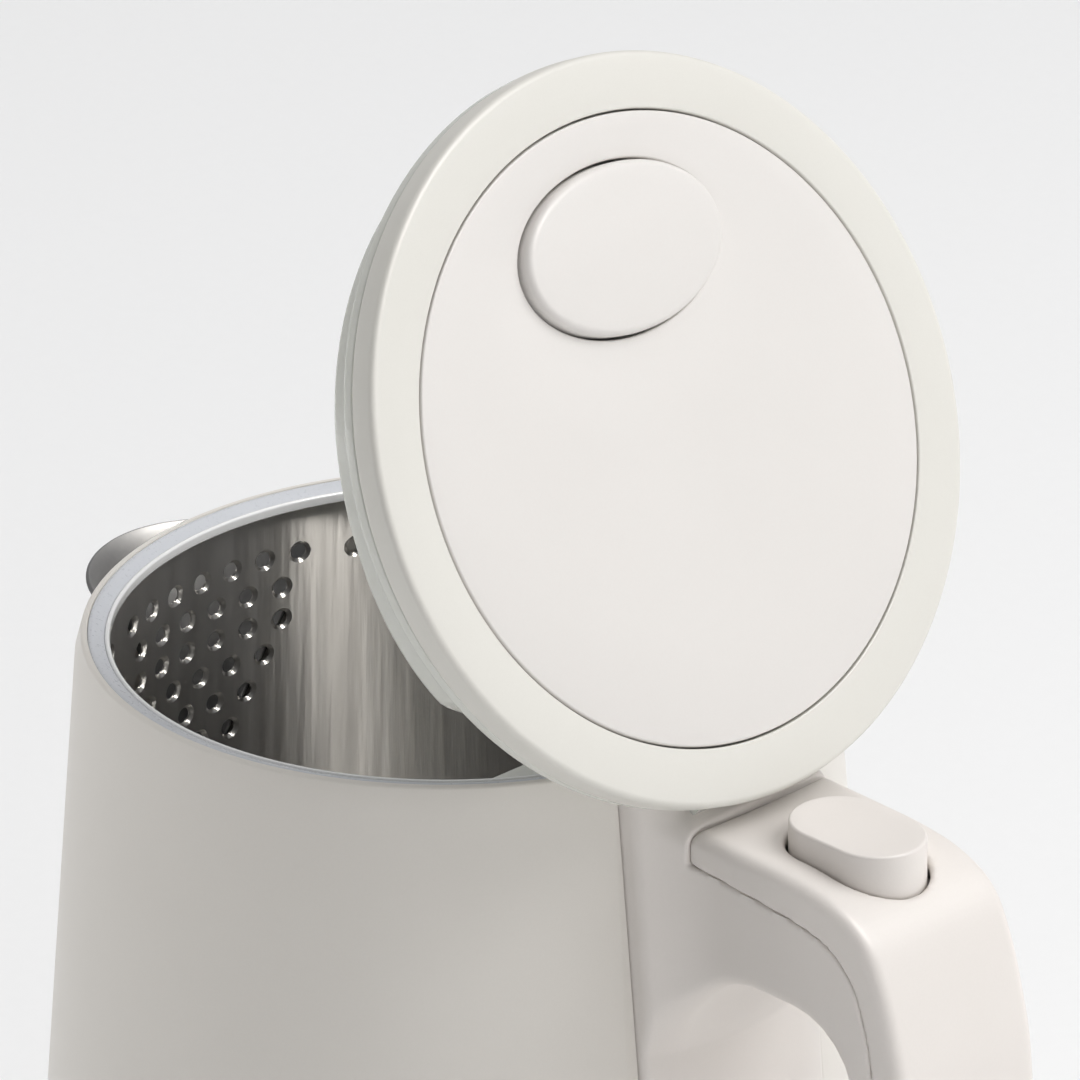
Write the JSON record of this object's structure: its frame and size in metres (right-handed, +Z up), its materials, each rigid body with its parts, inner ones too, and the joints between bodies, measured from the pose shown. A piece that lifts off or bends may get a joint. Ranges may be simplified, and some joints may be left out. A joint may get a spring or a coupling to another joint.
{
  "type": "electric kettle",
  "caption": "Cordless electric kettle with a double-wall tapered body, steel vessel, hinged lid with push-button latch, loop handle with boil switch, and a round power base.",
  "frame": {"origin": "on the kettle's axis, at the level of the table the feet stand on", "axes": "+Z up; +X towards the handle and the lid's hinge; the spout points to -X; the XZ plane is the plane of symmetry"},
  "size_m": [0.2051, 0.1554, 0.3107],
  "materials": {
    "body": "satin",
    "lid": "satin",
    "inner": "glossy",
    "rim": "satin",
    "steel": "brushed",
    "brass": "satin",
    "aluminium": "cast",
    "silicone": "translucent",
    "rubber": "matt",
    "nylon": "matt"
  },
  "bodies": {
    "power_base": {"base_cover": "body", "base_bottom_plate": "body", "base_foot_1": "rubber", "base_foot_2": "rubber", "base_foot_3": "rubber", "base_screw_1": "steel", "base_screw_2": "steel", "base_screw_3": "steel", "base_connector": "nylon", "base_contact_pin": "brass", "base_contact_ring": "brass", "cord_gland": "rubber"},
    "lid_button": {"lid_button": "lid"},
    "latch_bolt": {"latch_bolt": "nylon"},
    "power_button": {"power_button": "body"},
    "kettle_body": {"outer_shell": "body", "rim_ring": "rim", "inner_vessel": "steel", "spout": "steel", "bottom_cover": "body", "kettle_connector": "nylon", "kettle_contact_sleeve": "brass", "heater_plate": "aluminium", "heating_element": "steel", "thermostat": "nylon", "dry_boil_disc": "brass", "bottom_screw_1": "steel", "bottom_screw_2": "steel", "bottom_screw_3": "steel", "hinge_bracket": "inner", "hinge_pin": "steel", "lid_torsion_spring": "steel", "hinge_screw_1": "steel", "hinge_screw_2": "steel", "handle_frame": "body", "handle_cover": "body", "steam_switch": "nylon", "power_button_spring": "steel", "steam_bimetal_disc": "brass", "steam_tube": "silicone", "handle_screw_1": "steel", "handle_screw_2": "steel"},
    "lid": {"lid_ring": "lid", "lid_panel": "lid", "lid_base": "inner", "lid_seal": "silicone", "lid_button_spring": "steel", "latch_spring": "steel", "lid_screw_1": "steel", "lid_screw_2": "steel", "lid_screw_3": "steel"}
  },
  "joints": [
    {"name": "kettle_lift", "type": "slide", "parent": "power_base", "child": "kettle_body", "axis": [0, 0, 1], "range_m": [0, 0.12]},
    {"name": "lid_hinge", "type": "hinge", "parent": "kettle_body", "child": "lid", "pos_m": [0.0593, 0, 0.1952], "axis": [0, 1, 0], "range_deg": [-65.2, 0], "stiffness_Nm_per_rad": 0.035, "springref_deg": 49.85},
    {"name": "lid_button_press", "type": "slide", "parent": "lid", "child": "lid_button", "axis": [-0.9078, 0, -0.4195], "range_m": [0, 0.002], "stiffness_N_per_m": 600, "springref_m": -0.002},
    {"name": "latch_slide", "type": "slide", "parent": "lid", "child": "latch_bolt", "axis": [0.4195, 0, -0.9078], "range_m": [0, 0.002], "stiffness_N_per_m": 200, "springref_m": -0.002},
    {"name": "power_button_press", "type": "slide", "parent": "kettle_body", "child": "power_button", "axis": [0, 0, -1], "range_m": [0, 0.004], "stiffness_N_per_m": 300, "springref_m": -0.003}
  ],
  "couplings": [
    {"joint": "latch_slide", "follows": "lid_button_press", "ratio": 1}
  ]
}
